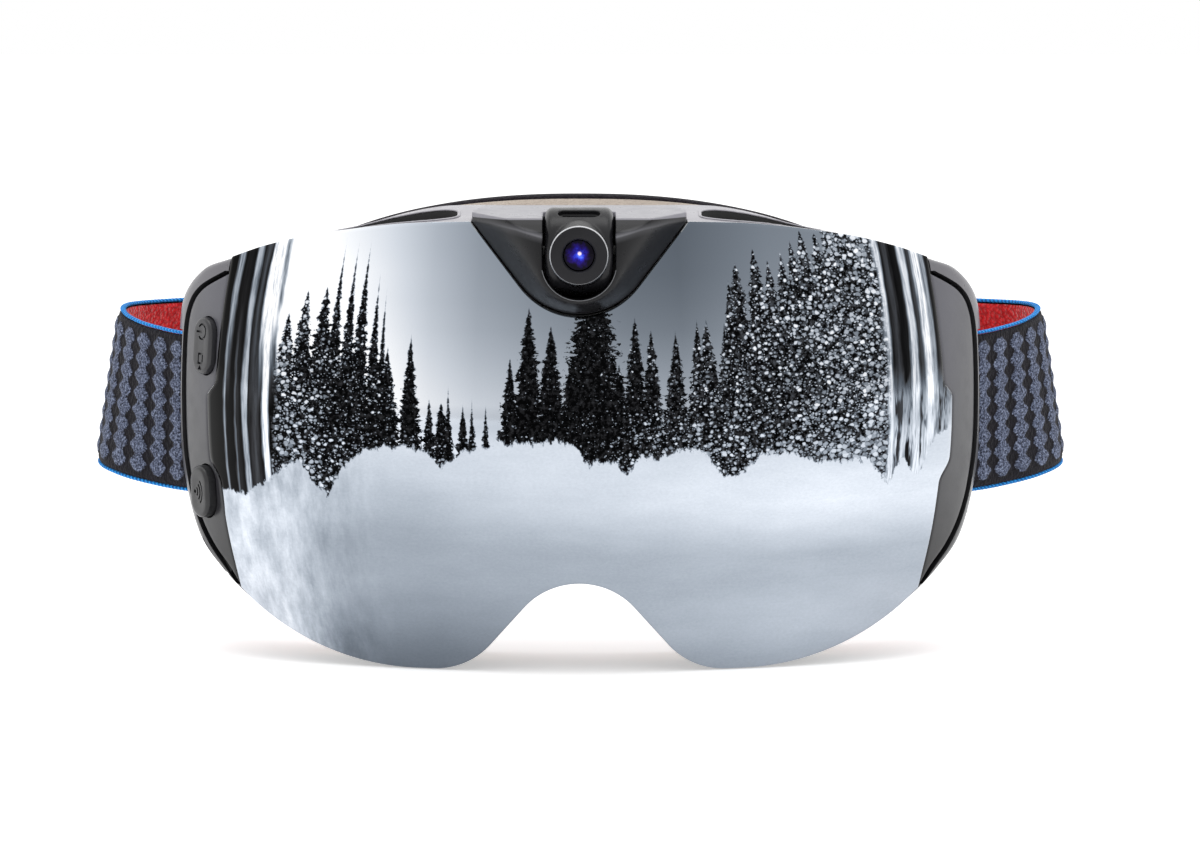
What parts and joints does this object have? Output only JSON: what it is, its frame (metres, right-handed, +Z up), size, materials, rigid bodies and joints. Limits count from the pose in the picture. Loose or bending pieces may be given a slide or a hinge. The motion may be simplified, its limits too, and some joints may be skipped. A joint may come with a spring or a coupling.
{
  "type": "camera snow goggles",
  "caption": "Cylindrical-lens snow goggles with a tilting action camera set in the brow, side buttons and an adjustable elastic strap.",
  "frame": {"origin": "middle of the face foam's contact plane, between the brows, at mid lens height", "axes": "+X is the wearer's left, +Y runs back through the head, +Z is up; the lens faces -Y"},
  "size_m": [0.2372, 0.1461, 0.1089],
  "materials": {
    "lens_mirror": "silver mirror coating on polycarbonate",
    "lens_clear": "tinted clear polycarbonate",
    "graphite": "satin graphite",
    "charcoal": "satin charcoal",
    "black": "satin black",
    "coated_glass": "coated camera glass",
    "steel": "plain",
    "nickel": "nickel-plated magnet",
    "foam_beige": "open-cell face foam",
    "fleece": "black fleece",
    "mesh_foam": "open-cell vent foam",
    "webbing": "elastic webbing with raised silicone-backed pattern",
    "rubber": "matt",
    "board": "circuit board",
    "cell": "pouch cell foil",
    "flex": "polyimide flat cable"
  },
  "bodies": {
    "goggles": {"face_frame": "graphite", "foam_base": "foam_beige", "foam_fleece": "fleece", "frame_magnet_left_top": "nickel", "frame_magnet_left_bottom": "nickel", "frame_magnet_right_top": "nickel", "frame_magnet_right_bottom": "nickel", "side_cover_left": "graphite", "side_cover_right": "graphite", "cover_screw_left_upper": "steel", "cover_screw_left_lower": "steel", "cover_screw_right_upper": "steel", "cover_screw_right_lower": "steel", "main_board": "board", "battery": "cell", "power_switch_upper": "steel", "power_switch_lower": "steel", "wifi_switch": "steel", "usb_port": "steel", "card_socket": "steel", "vent_foam_top_left": "mesh_foam", "vent_foam_top_right": "mesh_foam", "vent_foam_bottom_left": "mesh_foam", "vent_foam_bottom_right": "mesh_foam", "strap_pin_left": "steel", "strap_pin_right": "steel", "battery_cable": "flex", "camera_cable": "flex", "camera_bezel": "charcoal", "camera_cradle": "black", "cradle_screw_left": "steel", "cradle_screw_right": "steel", "strap_left": "webbing", "strap_right": "webbing"},
    "lens": {"outer_lens": "lens_mirror", "lens_gasket": "mesh_foam", "inner_lens": "lens_clear", "lens_magnet_left_top": "nickel", "lens_magnet_left_bottom": "nickel", "lens_magnet_right_top": "nickel", "lens_magnet_right_bottom": "nickel"},
    "camera": {"tilt_drum": "charcoal", "barrel_ring": "steel", "cover_glass": "coated_glass", "lens_barrel": "black", "image_sensor": "board", "tilt_pin_left": "steel", "tilt_pin_right": "steel"},
    "power_button": {"power_rocker": "black"},
    "wifi_button_body": {"wifi_button": "black"},
    "port_flap": {"port_cover": "rubber"},
    "left_adjuster": {"slider_left": "black", "strap_end_right": "webbing"},
    "right_adjuster": {"slider_right": "black", "strap_end_left": "webbing"}
  },
  "joints": [
    {"name": "camera_tilt", "type": "hinge", "parent": "goggles", "child": "camera", "pos_m": [0, -0.044, 0.0453], "axis": [1, 0, 0], "range_deg": [-15, 15]},
    {"name": "power_rocker_press", "type": "hinge", "parent": "goggles", "child": "power_button", "pos_m": [-0.08469, 0.00093, 0.02038], "axis": [-0.5454, 0.8382, 0], "range_deg": [-3, 3], "stiffness_Nm_per_rad": 0.12},
    {"name": "wifi_button_press", "type": "slide", "parent": "goggles", "child": "wifi_button_body", "axis": [0.84, 0.5408, 0.0439], "range_m": [0, 0.0004], "stiffness_N_per_m": 800},
    {"name": "lens_removal", "type": "slide", "parent": "goggles", "child": "lens", "axis": [0, -1, 0], "range_m": [0, 0.04]},
    {"name": "port_cover_hinge", "type": "hinge", "parent": "goggles", "child": "port_flap", "pos_m": [-0.08032, -0.00093, -0.03561], "axis": [-0.4397, -0.7983, 0.4114], "range_deg": [0, 110]},
    {"name": "slider_left_slide", "type": "slide", "parent": "goggles", "child": "left_adjuster", "axis": [1, 0, 0], "range_m": [0, 0.022]},
    {"name": "slider_right_slide", "type": "slide", "parent": "goggles", "child": "right_adjuster", "axis": [-1, 0, 0], "range_m": [0, 0.022]}
  ]
}
